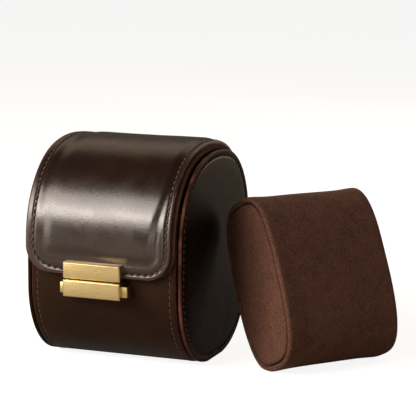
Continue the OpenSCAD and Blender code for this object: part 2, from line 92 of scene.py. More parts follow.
DRUM_H, DRUM_D, LID_W = 100.0, 92.6, 72.0
SIDE_R, CROWN_R, CORNER_R, FLAT_D = 600.0, 73.5, 38.0, 20.0
WALL_LEATHER_T, WALL_BOARD_T, WALL_LINING_T, WALL_TOP, BINDING_DROP = 1.5, 1.9, 0.8, 77.0, 5.0
PANEL_T, PANEL_OUT, SEAM_W, GROOVE_W, LIP_W = 2.0, 1.2, 0.3, 1.1, 1.6
BOARD_PLUG, PANEL_LINING_T, PLUG_GAP = 2.0, 0.8, 0.1
LID_GAP, LID_LINING_T, LID_BOARD_T, LID_LEATHER_T = 0.3, 0.8, 0.9, 2.15
LID_FRONT_Z, STRAP_LOW_Z, HINGE_Z, LID_CORNER_R, LID_BORDER = 46.0, 28.0, 78.4, 12.0, 5.0
CUSHION_L, CUSHION_D, CUSHION_H, CUSHION_N, CUSHION_CROWN = 62.4, 43.0, 82.4, 2.93, 1.2
CUSHION_AT, CUSHION_TURN, CUSHION_LEAN = (83.9, 13.4), 50.9, 25.1

WALL_T = WALL_LEATHER_T + WALL_BOARD_T + WALL_LINING_T
HALF_W = LID_W/2
PANEL_LEFT_X = PANEL_T - PANEL_OUT - HALF_W
WALL_LEFT_X, WALL_RIGHT_X = PANEL_LEFT_X + SEAM_W, HALF_W + LIP_W
PANEL_RIGHT_X = WALL_RIGHT_X + GROOVE_W
LID_LINING_OUT = LID_GAP + LID_LINING_T
LID_BOARD_OUT = LID_LINING_OUT + LID_BOARD_T
LID_OUT = LID_BOARD_OUT + LID_LEATHER_T


# -------------------- side view of the drum

def drum_arcs():
    """The drum's outline as arcs (length so far, centre, radius, from, to), from the middle of the base, the
    back first, with its whole length and the height of its middle."""
    drop = CROWN_R - math.sqrt(CROWN_R**2 - (FLAT_D/2)**2)
    half_h = (DRUM_H + drop)/2
    side_c, crown_c = DRUM_D/2 - SIDE_R, half_h - CROWN_R
    reach_side, reach_crown = SIDE_R - CORNER_R, CROWN_R - CORNER_R
    between = math.hypot(side_c, crown_c)
    along = (reach_side**2 - reach_crown**2 + between**2)/(2*between)
    aside = math.sqrt(reach_side**2 - along**2)
    cy = side_c + (-along*side_c - aside*crown_c)/between
    cz = (along*crown_c - aside*side_c)/between
    side_a = math.atan2(cz, cy - side_c)
    crown_a = math.atan2(cz - crown_c, cy)
    quarter = math.pi/2
    back = [((0, -crown_c), CROWN_R, -quarter, -crown_a), ((cy, -cz), CORNER_R, -crown_a, -side_a),
            ((side_c, 0), SIDE_R, -side_a, side_a), ((cy, cz), CORNER_R, side_a, crown_a),
            ((0, crown_c), CROWN_R, crown_a, quarter)]
    front = [((-c[0], c[1]), r, math.pi - a1, math.pi - a0) for c, r, a0, a1 in reversed(back)]
    arcs, run = [], 0.0
    for c, r, a0, a1 in back + front:
        arcs.append((run, c, r, a0, a1))
        run += r*(a1 - a0)
    return arcs, run, half_h - drop


ARCS, ROUND, CENTRE_Z = drum_arcs()


def arc_at(s):
    """Centre, radius and angle of the outline at s round the drum."""
    for run, c, r, a0, _ in reversed(ARCS):
        if s >= run - 1e-9:
            break
    return c, r, a0 + (s - run)/r


def on_drum(s, off=0.0):
    """(y, z) at s round the drum and off outside its outline, never under the floor."""
    c, r, a = arc_at(s)
    return c[0] + (r + off)*math.cos(a), max(c[1] + (r + off)*math.sin(a) + CENTRE_Z, 0.0)


def facing(s):
    """Unit vector (y, z) that points out of the drum at s."""
    a = arc_at(s)[2]
    return math.cos(a), math.sin(a)


def at_height(z, off, front):
    """How far round the drum the layer at off reaches height z, on the back or the front."""
    low, high = 5.0, ROUND/2
    for _ in range(50):
        mid = (low + high)/2
        if on_drum(mid, off)[1] < z:
            low = mid
        else:
            high = mid
    return ROUND - low if front else low


def place(s, off, x):
    """The point at s round the drum, off outside its outline and x across, in metres."""
    y, z = on_drum(s, off)
    return Vector((x, y, z))*MM


# -------------------- shader node groups and materials

def group(name, inputs, outputs):
    """An empty shader node group with float sockets: inputs are pairs of name and value, outputs names."""
    tree = bpy.data.node_groups.new(name, "ShaderNodeTree")
    for label, value in inputs:
        socket = tree.interface.new_socket(name=label, in_out="INPUT", socket_type="NodeSocketFloat")
        socket.default_value = value
    for label in outputs:
        tree.interface.new_socket(name=label, in_out="OUTPUT", socket_type="NodeSocketFloat")
    return tree, tree.nodes.new("NodeGroupInput"), tree.nodes.new("NodeGroupOutput")


def feed(tree, slot, value):
    """Links a socket to the slot, or sets the slot to a value."""
    if isinstance(value, bpy.types.NodeSocket):
        tree.links.new(value, slot)
    else:
        slot.default_value = value


def wire(tree, node, **wires):
    """Feeds the node's inputs, each from a socket or a value."""
    for key, value in wires.items():
        feed(tree, node.inputs[key.replace("_", " ")], value)


def add(tree, kind, sets=None, **wires):
    """A node of that kind, with properties from sets and inputs from wires."""
    n = tree.nodes.new("ShaderNode" + kind)
    for key, value in (sets or {}).items():
        setattr(n, key, value)
    wire(tree, n, **wires)
    return n


def maths(tree, what, *values):
    n = add(tree, "Math", {"operation": what})
    for slot, value in zip(n.inputs, values):
        feed(tree, slot, value)
    return n.outputs[0]


MIX_A, MIX_B, MIX_RESULT = 6, 7, 2  # the mix node's colour sockets


def blend_colours(tree, share, a, b):
    n = add(tree, "Mix", {"data_type": "RGBA"})
    for slot, value in ((n.inputs["Factor"], share), (n.inputs[MIX_A], a), (n.inputs[MIX_B], b)):
        feed(tree, slot, value)
    return n.outputs[MIX_RESULT]


def spread(tree, value, low, high, to_low=0.0, to_high=1.0):
    """Map a value from one range to another, clamped."""
    n = add(tree, "MapRange", {"clamp": True}, Value=value)
    for slot, v in zip(n.inputs[1:5], (low, high, to_low, to_high)):
        feed(tree, slot, v)
    return n.outputs[0]


def weighed(tree, a, share, b, rest):
    """a times share, plus b times rest."""
    return maths(tree, "ADD", maths(tree, "MULTIPLY", a, share), maths(tree, "MULTIPLY", b, rest))


def per_metre(tree, size):
    """How often a size in millimetres fits in a metre, as the scale of a texture."""
    return maths(tree, "DIVIDE", 1000.0, size)


def rgb(text):
    """A colour from its sRGB hex digits, as linear values."""
    values = [int(text[i:i + 2], 16)/255 for i in (0, 2, 4)]
    return tuple(v/12.92 if v <= 0.04045 else ((v + 0.055)/1.055)**2.4 for v in values) + (1.0,)


def hide_grain():
    """Fine calf grain: Height for the bump, Tone for how light the dye is, Polish for its roughness."""
    tree, start, end = group("hide grain", [("Pore size", 0.45), ("Polish size", 7.0)],
                             ["Height", "Tone", "Polish"])
    where = add(tree, "TexCoord").outputs["Object"]
    pores = add(tree, "TexVoronoi", {"feature": "F1"}, Vector=where, Randomness=1.0,
                Scale=per_metre(tree, start.outputs["Pore size"])).outputs["Distance"]
    rub = add(tree, "TexNoise", None, Vector=where, Detail=2.0, Roughness=0.5,
              Scale=per_metre(tree, start.outputs["Polish size"])).outputs["Fac"]
    cloud = add(tree, "TexNoise", None, Vector=where, Scale=45.0, Detail=2.0, Roughness=0.5).outputs["Fac"]
    along = add(tree, "Mapping", None, Vector=where, Scale=(0.55, 1.0, 1.0))
    speck = add(tree, "TexNoise", None, Vector=along.outputs[0], Scale=1500.0, Detail=2.0,
                Roughness=0.5).outputs["Fac"]
    tone = spread(tree, weighed(tree, cloud, 0.6, speck, 0.4), 0.3, 0.7)
    wire(tree, end, Height=weighed(tree, pores, 0.3, speck, 0.7), Tone=tone,
         Polish=spread(tree, rub, 0.2, 0.8))
    return tree


def painted_edge():
    """Drawn from the piece's own edge attribute: where its cut edge is painted, broken up a little, where the
    paint is rubbed pale, and how far the border beside it is burnished."""
    tree, start, end = group("painted edge", [("Reach", 0.5)], ["Mask", "Rub", "Border"])
    mark = add(tree, "Attribute", {"attribute_name": "edge"}).outputs["Fac"]
    where = add(tree, "TexCoord").outputs["Object"]
    wander = add(tree, "TexNoise", None, Vector=where, Scale=700.0, Detail=2.0).outputs["Fac"]
    rubbed = add(tree, "TexNoise", None, Vector=where, Scale=160.0, Detail=3.0).outputs["Fac"]
    level = maths(tree, "ADD", mark, maths(tree, "MULTIPLY", maths(tree, "SUBTRACT", wander, 0.5), 0.25))
    reach = start.outputs["Reach"]
    wire(tree, end, Mask=spread(tree, level, reach, maths(tree, "ADD", reach, 0.15)),
         Rub=spread(tree, rubbed, 0.4, 0.68), Border=spread(tree, mark, 0.0, 0.3))
    return tree


def brushed_nap():
    """Suede: short fibres that lie different ways. Tone runs from dark, brushed one way, to light."""
    tree, start, end = group("brushed nap", [("Fibre size", 0.5), ("Patch size", 9.0), ("Speckle", 0.7)],
                             ["Height", "Tone"])
    where = add(tree, "TexCoord").outputs["Object"]
    fibres = add(tree, "TexNoise", None, Vector=where, Detail=2.0, Roughness=0.75,
                 Scale=per_metre(tree, start.outputs["Fibre size"])).outputs["Fac"]
    patches = add(tree, "TexNoise", None, Vector=where, Detail=3.0, Roughness=0.55, Distortion=0.3,
                  Scale=per_metre(tree, start.outputs["Patch size"])).outputs["Fac"]
    speckle = start.outputs["Speckle"]
    tone = weighed(tree, spread(tree, fibres, 0.36, 0.64), speckle,
                   spread(tree, patches, 0.3, 0.7), maths(tree, "SUBTRACT", 1.0, speckle))
    wire(tree, end, Height=fibres, Tone=tone)
    return tree


def brush_lines():
    """Satin metal: long fine scratches along X."""
    tree, start, end = group("brush lines", [("Line width", 0.12)], ["Height", "Tone"])
    where = add(tree, "TexCoord").outputs["Object"]
    drawn_out = add(tree, "Mapping", None, Vector=where, Scale=(0.03, 1.0, 1.0))
    lines = add(tree, "TexNoise", None, Vector=drawn_out.outputs[0], Detail=4.0, Roughness=0.65,
                Scale=per_metre(tree, start.outputs["Line width"])).outputs["Fac"]
    wire(tree, end, Height=lines, Tone=spread(tree, lines, 0.3, 0.7))
    return tree


GRAIN, EDGE, NAP, BRUSHED = hide_grain(), painted_edge(), brushed_nap(), brush_lines()


def start_material(name):
    m = bpy.data.materials.new(name)
    m.use_nodes = True
    return m, m.node_tree, m.node_tree.nodes["Principled BSDF"]


def use(tree, made, **values):
    """A node that uses the group made, with the inputs in values."""
    return add(tree, "Group", {"node_tree": made}, **values)


def bump(tree, shader, height, depth):
    """Height 0 to 1, standing depth millimetres."""
    n = add(tree, "Bump", None, Height=height, Strength=1.0, Distance=depth*MM)
    wire(tree, shader, Normal=n.outputs[0])


EDGE_PAINT, WORN_PAINT, BURNT = "3f2118", "6b4032", "33190e"
BURNT_SHARE, BORDER_DULL = 0.6, 0.08


def leather(name, dark, light, rough, shine, depth, pore, tint):
    """Dyed calf with painted cut edges and a burnished, duller border beside them. shine is the specular
    level, tint the warmth of its highlights."""
    m, tree, shader = start_material(name)
    grain = use(tree, GRAIN, Pore_size=pore)
    edge = use(tree, EDGE)
    border = edge.outputs["Border"]
    hide = blend_colours(tree, grain.outputs["Tone"], rgb(dark), rgb(light))
    hide = blend_colours(tree, maths(tree, "MULTIPLY", border, BURNT_SHARE), hide, rgb(BURNT))
    cut = blend_colours(tree, edge.outputs["Rub"], rgb(EDGE_PAINT), rgb(WORN_PAINT))
    polish = spread(tree, grain.outputs["Polish"], 0.0, 1.0, rough - 0.04, rough + 0.06)
    wire(tree, shader, Base_Color=blend_colours(tree, edge.outputs["Mask"], hide, cut),
         Roughness=maths(tree, "ADD", polish, maths(tree, "MULTIPLY", border, BORDER_DULL)),
         Specular_IOR_Level=shine, Specular_Tint=rgb(tint))
    bump(tree, shader, grain.outputs["Height"], depth)
    return m


def suede(name, dark, light, fibre, patch, speckle, depth, seam_shade=None):
    """Suede, darkened with a painted shade in its pinched seams, where the piece's edge attribute marks them.
    """
    m, tree, shader = start_material(name)
    nap = use(tree, NAP, Fibre_size=fibre, Patch_size=patch, Speckle=speckle)
    colour = blend_colours(tree, nap.outputs["Tone"], rgb(dark), rgb(light))
    # Painted shade: where the edge attribute marks a seam groove, the suede is blended towards the given
    # near-black colour, which stands in for the groove's shade.
    if seam_shade:
        mark = add(tree, "Attribute", {"attribute_name": "edge"}).outputs["Fac"]
        colour = blend_colours(tree, spread(tree, mark, 0.15, 0.9), colour, rgb(seam_shade))
    wire(tree, shader, Base_Color=colour, Roughness=0.95, Specular_IOR_Level=0.15, Sheen_Weight=0.25,
         Sheen_Roughness=0.45, Sheen_Tint=rgb("a98a78"))
    bump(tree, shader, nap.outputs["Height"], depth)
    return m


def metal(name, dark, light, rough):
    """Satin metal, whose lines lie along X."""
    m, tree, shader = start_material(name)
    lines = use(tree, BRUSHED, Line_width=0.12)
    tone = lines.outputs["Tone"]
    wire(tree, shader, Base_Color=blend_colours(tree, tone, rgb(dark), rgb(light)),
         Roughness=spread(tree, tone, 0.0, 1.0, rough - 0.05, rough + 0.07), Metallic=1.0)
    bump(tree, shader, lines.outputs["Height"], 0.012)
    return m


def fibre(name, dark, light, size, depth, paint=None):
    """Board or foam: mottled fibres or cells of that size. paint is a colour for the ends, left of one x and
    right of another."""
    m, tree, shader = start_material(name)
    where = add(tree, "TexCoord").outputs["Object"]
    flecks = add(tree, "TexNoise", None, Vector=where, Scale=1000/size, Detail=4.0,
                 Roughness=0.7).outputs["Fac"]
    colour = blend_colours(tree, spread(tree, flecks, 0.3, 0.7), rgb(dark), rgb(light))
    if paint:
        shade, left, right = paint
        x = add(tree, "SeparateXYZ", None, Vector=where).outputs[0]
        past_left = maths(tree, "LESS_THAN", x, left*MM)
        past_right = maths(tree, "GREATER_THAN", x, right*MM)
        colour = blend_colours(tree, maths(tree, "ADD", past_left, past_right), colour, rgb(shade))
    wire(tree, shader, Base_Color=colour, Roughness=0.85, Specular_IOR_Level=0.3)
    bump(tree, shader, flecks, depth)
    return m


def thread(name, dark, light):
    """Waxed thread: strands that wind round the stitch."""
    m, tree, shader = start_material(name)
    where = add(tree, "TexCoord").outputs["Object"]
    strands = add(tree, "TexWave", {"wave_type": "BANDS", "bands_direction": "DIAGONAL"}, Vector=where,
                  Scale=900.0, Distortion=1.5, Detail=1.0).outputs["Fac"]
    wire(tree, shader, Base_Color=blend_colours(tree, strands, rgb(dark), rgb(light)), Roughness=0.6,
         Specular_IOR_Level=0.15)
    bump(tree, shader, strands, 0.05)
    return m


LID_HIDE = leather("polished calf", "190b05", "2f180d", 0.26, 1.0, 0.045, pore=0.6, tint="fff4ea")
WALL_HIDE = leather("satin calf", "23140c", "332014", 0.42, 0.1, 0.014, pore=0.7, tint="ffe0c8")
PANEL_HIDE = leather("soft calf", "150b06", "21140b", 0.4, 0.08, 0.012, pore=0.6, tint="ffe0c8")
# Painted shade: 1c100b is the near-black shade laid into the cushion's seam grooves.
CUSHION_SUEDE = suede("cushion suede", "472d22", "7c5241", fibre=0.7, patch=6.0, speckle=0.75, depth=0.15,
                      seam_shade="1c100b")
LINING_SUEDE = suede("lining suede", "3a241a", "5a3c2d", fibre=0.35, patch=14.0, speckle=0.7, depth=0.06)
BRASS = metal("satin brass", "e4c27c", "f8dfa4", 0.3)
STEEL = metal("plain steel", "8f9092", "b9bbbd", 0.28)
BOARD = fibre("fibreboard", "7a6450", "a08a70", 0.6, 0.05)
WALL_BOARD = fibre("edge-painted board", "7a6450", "a08a70", 0.6, 0.05,
                   paint=("4a2518", WALL_LEFT_X + 0.1, WALL_RIGHT_X - 0.1))
# Painted shade: the end boards are near black, so that the groove between the wall's edge and the end panel
# reads as deep shade where they show in it.
GROOVE_SHADE_BOARD = fibre("board dark as groove shade", "1a100b", "2a1a12", 0.6, 0.04)
FOAM = fibre("open foam", "d8cdb4", "efe6d0", 0.5, 0.15)
DARK_THREAD = thread("dark thread", "3a2a20", "7c6652")
LIGHT_THREAD = thread("waxed thread", "3a2920", "806a5a")


# -------------------- making and naming pieces

def finish_piece(bm, name, material, body, nodes=(), angle=None):
    """Turns a bmesh into an object that rides on a body and stands for CAD nodes."""
    mesh = bpy.data.meshes.new(name)
    for spare in [layer for layer in bm.verts.layers.float if layer.name != "edge"]:
        bm.verts.layers.float.remove(spare)
    bm.normal_update()
    bm.to_mesh(mesh)
    bm.free()
    piece = bpy.data.objects.new(name, mesh)
    bpy.context.scene.collection.objects.link(piece)
    mesh.materials.append(material)
    for p in mesh.polygons:
        p.use_smooth = True
    if angle is not None:
        mesh.set_sharp_from_angle(angle=math.radians(angle))
    if body:
        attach(piece, body)
    if nodes:
        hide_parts(*nodes)
    return piece


def doubled(bm, faces):
    """Extrudes the faces, which stay where they are, and gives the new vertices."""
    made = bmesh.ops.extrude_face_region(bm, geom=faces, use_keep_orig=True)
    return [g for g in made["geom"] if isinstance(g, bmesh.types.BMVert)]


def round_edges(bm, edges, width, segments=3):
    bmesh.ops.bevel(bm, geom=edges, offset=width*MM, offset_type="OFFSET", segments=segments, profile=0.5,
                    affect="EDGES", material=-1, clamp_overlap=True)


def face_outwards(bm):
    bmesh.ops.recalc_face_normals(bm, faces=bm.faces[:])


def stops(length, near, step):
    """Places along a length: close together at both ends, as near says, and step apart between."""
    near = [d for d in near if d < length/2]
    inner = length - 2*near[-1]
    count = max(1, round(inner/step))
    return near + [near[-1] + inner*i/count for i in range(1, count)] + [length - d for d in reversed(near)]


HEM = [0, 0.5, 0.9, 1.25, 1.55, 1.8, 2.05, 2.3, 2.6, 2.9, 3.3, 3.8, 4.4, 5.0, 5.7, 6.4, 7.1, 7.8, 8.6, 9.4,
       10.3, 11.3, 12.4, 13.6]


def hollow(d, middle, width):
    """1 at the middle, falling off smoothly to both sides within about two widths."""
    return math.exp(-((d - middle)/width)**2)


def ease(t):
    """0 below 0, 1 above 1, and an S-shaped rise between."""
    t = min(max(t, 0.0), 1.0)
    return t*t*(3 - 2*t)


EDGE_DROP, EDGE_SOFT = 0.32, 1.3


def rounding(d):
    """How far the outer face falls away towards a cut edge."""
    return EDGE_DROP*max(0.0, 1 - d/EDGE_SOFT)**2


def rim_distance(s, x, s0, s1, half, r0, r1):
    """Distance from (s, x) to a sheet's edge. Its corners have radius r0 at s0 and r1 at s1."""
    ds0, ds1, dx = s - s0, s1 - s, half - abs(x)
    d = min(ds0, ds1, dx)
    for ds, r in ((ds0, r0), (ds1, r1)):
        if r and ds < r and dx < r:
            d = r - math.hypot(r - ds, r - dx)
    return d


def into_corner(s, x, s0, s1, half, r0, r1):
    """Draws a square corner of the flat cut in to a round one."""
    dx = half - abs(x)
    for edge, sign, r in ((s0, 1, r0), (s1, -1, r1)):
        ds = (s - edge)*sign
        if r and ds < r and dx < r:
            a, b = 1 - ds/r, 1 - dx/r
            drawn_x = half - r*(1 - b*math.sqrt(1 - a*a/2))
            return edge + sign*r*(1 - a*math.sqrt(1 - b*b/2)), math.copysign(drawn_x, x)
    return s, x


def flat_grid(rows, cols):
    """A grid with a vertex for each row and column, its layers s, x and d, and (vertex, row, column) of
    each."""
    bm = bmesh.new()
    bmesh.ops.create_grid(bm, x_segments=len(rows) - 1, y_segments=len(cols) - 1, size=0.5)
    layers = [bm.verts.layers.float.new(n) for n in ("s", "x", "d")]
    spots = [(v, rows[round((v.co.x + 0.5)*(len(rows) - 1))], cols[round((v.co.y + 0.5)*(len(cols) - 1))])
             for v in bm.verts]
    return bm, layers, spots


def with_inside(bm, at_s, at_x, at_d, inner, bevel, shift=0.0):
    """Gives a sheet its inner face, rounds its cut edge and marks it."""
    for v in doubled(bm, bm.faces[:]):
        v.co = place(v[at_s], inner(v[at_d], v[at_s], v[at_x]), v[at_x] + shift)
    face_outwards(bm)
    if bevel:
        round_cut_edges(bm, at_d, bevel)
    mark_edges(bm)
    return bm


def wrapped(s0, s1, half, outer, inner, radii=(0, 0), near=HEM, step=2.2, extra=(), keep=None, bevel=0.4,
            lip=0.0):
    """A sheet wrapped round the drum, from s0 to s1 and half to each side, its right edge lip further out.
    outer and inner give how far out its faces are, from (d, s, x), where d is the distance to its edge."""
    half, shift = half + lip/2, lip/2
    rows = sorted(set([s0 + v for v in stops(s1 - s0, near, step)] + list(extra)))
    cols = [v - half for v in stops(2*half, near, step)]
    bm, (at_s, at_x, at_d), spots = flat_grid(rows, cols)
    for v, s, x in spots:
        s, x = into_corner(s, x, s0, s1, half, *radii)
        v[at_s], v[at_x] = s, x
        v[at_d] = max(0.0, rim_distance(s, x, s0, s1, half, *radii))
    if keep:
        spare = [f for f in bm.faces if not keep(*(sum(v[at] for v in f.verts)/4 for at in (at_d, at_s)))]
        bmesh.ops.delete(bm, geom=spare, context="FACES")
    for v in bm.verts:
        v.co = place(v[at_s], outer(v[at_d], v[at_s], v[at_x]), v[at_x] + shift)
    return with_inside(bm, at_s, at_x, at_d, inner, bevel, shift)


SHARP_TURN = 0.9


def round_cut_edges(bm, at_d, width):
    """Rounds the two arrises that run round a sheet's cut edge."""
    round_edges(bm, [e for e in bm.edges if len(e.link_faces) == 2 and e.calc_face_angle() > SHARP_TURN
                     and max(v[at_d] for v in e.verts) < 0.01], width)


PAINT_IN, PAINT_FADE, BURNISH_IN = 0.5, 0.8, 3.6


def mark_edges(bm):
    """The attribute that the painted edge and the burnished border are drawn from: it falls fast from 1 on
    the cut edge to PAINT_IN, then slowly to 0 at BURNISH_IN."""
    edge = bm.verts.layers.float.new("edge")
    at_d = bm.verts.layers.float["d"]
    turn = 1 - PAINT_IN/PAINT_FADE
    for v in bm.verts:
        d = v[at_d]
        if d < PAINT_IN:
            v[edge] = 1 - d/PAINT_FADE
        else:
            v[edge] = turn*max(0.0, 1 - (d - PAINT_IN)/(BURNISH_IN - PAINT_IN))


# -------------------- stitching

FLOOR_CLEAR = 0.5
END_DIP = 0.25


def stitch_row(bm, path, pitch, length, width, lift, slant):
    """Stitches along a path of (point, direction, outwards), each a short cord that dips in at both ends.
    They are left out where the leather lies on the floor."""
    runs = [0.0]
    for (p, _, _), (q, _, _) in zip(path, path[1:]):
        runs.append(runs[-1] + (q - p).length)
    count = round(runs[-1]/(pitch*MM))
    k = 0
    for i in range(count):
        want = (i + 0.5)*runs[-1]/count
        while k < len(path) - 2 and runs[k + 1] < want:
            k += 1
        share = (want - runs[k])/max(runs[k + 1] - runs[k], 1e-9)
        (p, t, n), (q, t2, n2) = path[k], path[k + 1]
        centre = p.lerp(q, share)
        if centre.z < FLOOR_CLEAR*MM:
            continue
        along, out = t.lerp(t2, share).normalized(), n.lerp(n2, share).normalized()
        side = out.cross(along).normalized()
        turn = Matrix.Rotation(math.radians(slant), 3, out)
        along, side = turn @ along, turn @ side
        made = bmesh.ops.create_uvsphere(bm, u_segments=6, v_segments=7, radius=1.0)
        for v in made["verts"]:
            u, round_by = v.co.z, math.hypot(v.co.x, v.co.y)
            fat = 0.0 if round_by < 1e-4 else (1 - abs(u)**3*0.8)**0.5/round_by
            local = along*(u*length/2) + side*(v.co.x*fat*width/2) + out*(v.co.y*fat*width/2)
            v.co = centre + (local + out*(lift*(1 - u*u) - END_DIP*abs(u)**3))*MM


STITCH_PITCH = 3.2


def stitches(name, rows, material, body, slot, **how):
    """Rows of stitches as one piece."""
    bm = bmesh.new()
    for path in rows:
        stitch_row(bm, path, STITCH_PITCH, **how)
    face_outwards(bm)
    finish_piece(bm, name, material, body)


def stitch_in(x):
    """How far the stitch line lies in from the lid's edge: more on the left, where the edge rolls over."""
    return STITCH_IN + 1.4*ease((-x - 18)/12)


def border_line(far, end, step=0.8):
    """The stitch line of the flap or the strap as (s, x): from far along one side, round both corners at end,
    and back along the other side."""
    r, w = LID_CORNER_R - STITCH_IN, HALF_W - STITCH_IN
    sign = math.copysign(1, end - far)
    turn_s = end - sign*r

    def straight(a, b):
        n = max(1, round(math.dist(a, b)/step))
        return [(a[0] + (b[0] - a[0])*i/n, a[1] + (b[1] - a[1])*i/n) for i in range(n)]

    def corner(a0, a1):
        return [(turn_s + sign*r*math.cos(a), math.copysign(w - r, a) + r*math.sin(a))
                for a in (a0 + (a1 - a0)*i/12 for i in range(12))]

    def drawn_in(s, x):
        more = stitch_in(x) - STITCH_IN
        past = max((s - turn_s)*sign, 0.0), max(abs(x) - (w - r), 0.0)
        reach = math.hypot(*past)
        return s - sign*more*past[0]/reach, x - math.copysign(more*past[1]/reach, x)

    quarter = math.pi/2
    line = (straight((far, -w), (turn_s, -w)) + corner(-quarter, -1e-6) + straight((end, r - w), (end, w - r))
            + corner(1e-6, quarter) + straight((turn_s, w), (far, w)) + [(far, w)])
    return [drawn_in(s, x) for s, x in line]


def laid(flat, off):
    """Points (s, x) laid on the drum at off, as a path for stitch_row."""
    path = []
    for i, (s, x) in enumerate(flat):
        a, b = flat[max(i - 1, 0)], flat[min(i + 1, len(flat) - 1)]
        path.append((place(s, off, x), (place(b[0], 0, b[1]) - place(a[0], 0, a[1])).normalized(),
                     Vector((0, *facing(s)))))
    return path


# -------------------- lid leather, one skin down to the strap

LID_S1 = at_height(LID_FRONT_Z, LID_OUT, True)
STRAP_S0 = at_height(STRAP_LOW_Z, LID_OUT, False)
HINGE_S = at_height(HINGE_Z, LID_OUT, False)
AT_BROW = at_height(91.0, LID_OUT, True)
STITCH_IN, CREASE_W = 2.1, 0.55
VALLEY_IN, VALLEY_LOW, VALLEY_HIGH = 8.0, 4.6, 5.6
PAD_SLOPE, PAD_H, PAD_H_RIGHT = 6.2, 0.62, 0.26
WELT_H, CREASE_H, FOLD_H, WAVE_H = 0.22, 0.58, 0.35, 0.09


def lid_skin(d, s, x):
    """Outer face of the lid's leather: rolled border, stitched crease, soft welt, valley and padding.
    On the right the padding's edge runs aslant, further from the lid's edge lower down."""
    right = ease((x + 5)/10)
    valley = VALLEY_IN + (VALLEY_LOW*ease((s - AT_BROW)/(LID_S1 - AT_BROW - 14)) - VALLEY_HIGH)*right
    slope = PAD_SLOPE - 2.0*right
    flap = ease((s - HINGE_S - 4)/18)
    pad = (PAD_H + PAD_H_RIGHT*ease((x - 4)/16))*ease((d - valley)/slope)*flap
    border = valley - stitch_in(x)
    welt_h = WELT_H + (0.09*border - WELT_H)*right
    welt = welt_h*hollow(d, stitch_in(x) + border/2, 0.7 + 0.2*border)*flap
    crease = CREASE_H*hollow(d, stitch_in(x), CREASE_W)
    fold = FOLD_H*hollow(s - HINGE_S, 0, 1.2) if d > 1 else 0.0
    wave = WAVE_H*noise.noise(Vector((x*0.05, s*0.04, 3.1)))*ease(d/9)
    return LID_OUT + pad + welt + wave - crease - fold - rounding(d)


def lid_inner_face(d, s, x):
    return LID_BOARD_OUT + 0.75 - 0.15*ease(1 - d)


NEAR_HINGE = [HINGE_S + side*d for side in (-1, 1) for d in (0, 0.35, 0.7, 1.05, 1.45, 1.9, 2.4)]
HINGE_POINT = Vector((0, *on_drum(HINGE_S, LID_OUT)))*MM
AWAY = Vector((0, -math.sin(math.radians(35)), math.cos(math.radians(35))))
LID_RADII = (LID_CORNER_R, LID_CORNER_R)
LID_LEATHERS = ["lid_leather", "strap_leather"]


def bend_at_hinge(piece):
    """Bends with the hinge: below it the piece stays on the case, above it it goes with the lid."""
    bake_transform(piece, "case", "lid", start=HINGE_POINT - AWAY*0.0016, end=HINGE_POINT + AWAY*0.0016)


bend_at_hinge(finish_piece(
    wrapped(STRAP_S0, LID_S1, HALF_W, lid_skin, lid_inner_face, radii=LID_RADII, extra=NEAR_HINGE),
    "lid_skin", LID_HIDE, None, LID_LEATHERS))

bend_at_hinge(finish_piece(
    wrapped(STRAP_S0 + 0.15, LID_S1 - 0.15, HALF_W - 0.15,
            lambda d, s, x: LID_BOARD_OUT + 0.68 - rounding(d)*0.5,
            lambda d, s, x: LID_BOARD_OUT + 0.03,
            radii=LID_RADII, near=[0, 0.6, 1.6, 3.0, 5.0], step=4.0, extra=NEAR_HINGE,
            keep=lambda d, s: d < LID_BORDER or abs(s - HINGE_S) < 3.4, bevel=0.15),
    "lid_edge_facing", WALL_HIDE, None, LID_LEATHERS))

finish_piece(
    wrapped(at_height(HINGE_Z + LID_BORDER + 0.4, LID_OUT, False), LID_S1 - LID_BORDER - 0.2,
            HALF_W - LID_BORDER - 0.2,
            lambda d, s, x: LID_BOARD_OUT + 0.7*ease(d/2 + 0.3),
            lambda d, s, x: LID_BOARD_OUT + 0.02,
            radii=(0, LID_CORNER_R - LID_BORDER), near=[0, 0.5, 1.2, 2.2, 4.0], step=4.0, bevel=0.0),
    "lid_foam", FOAM, "lid", ["lid_padding"])


def lining_face(d, s, x):
    """Inner face of the lid's lining, which lies on the end boards at the top and bellies in between them."""
    top = ease((on_drum(s)[1] - 84)/6)
    edge = 0.25*max(0, 1 - d/1.2)**2
    return LID_GAP + edge*(1 - top) - (0.22 + 0.7*hollow(x, 0, 15))*top


def lining_back(d, s, x):
    """The face of the lid's lining that lies on the board, and at the rim stands in under its edge."""
    return LID_BOARD_OUT - 0.02 - 0.88*ease((d - 1.45)/0.12) - rounding(d)*0.4


finish_piece(
    wrapped(at_height(HINGE_Z + 0.15, LID_GAP, False), at_height(LID_FRONT_Z, LID_GAP, True), HALF_W,
            lining_back, lining_face, radii=(0, LID_CORNER_R),
            near=[0, 0.5, 1.0, 1.45, 1.6, 2.4, 3.6, 5.5, 8.0], step=3.0, bevel=0.25, lip=LIP_W),
    "lid_suede", LINING_SUEDE, "lid", ["lid_lining"])


for name, far, end, body, slot, slant in (
        ("lid_stitching", HINGE_S + 3.0, LID_S1 - STITCH_IN, "lid", "lid_leather", -16),
        ("strap_stitching", HINGE_S - 3.0, STRAP_S0 + STITCH_IN, "case", "case_leather", 16)):
    stitches(name, [laid(border_line(far, end), LID_OUT - 0.3)], LIGHT_THREAD, body, slot,
             slant=slant, length=2.5, width=0.85, lift=0.22)


# -------------------- tub wall

WALL_HIGH = WALL_TOP - WALL_LINING_T
WALL_STITCH_IN, WALL_CREASE_H = 3.0, 0.22


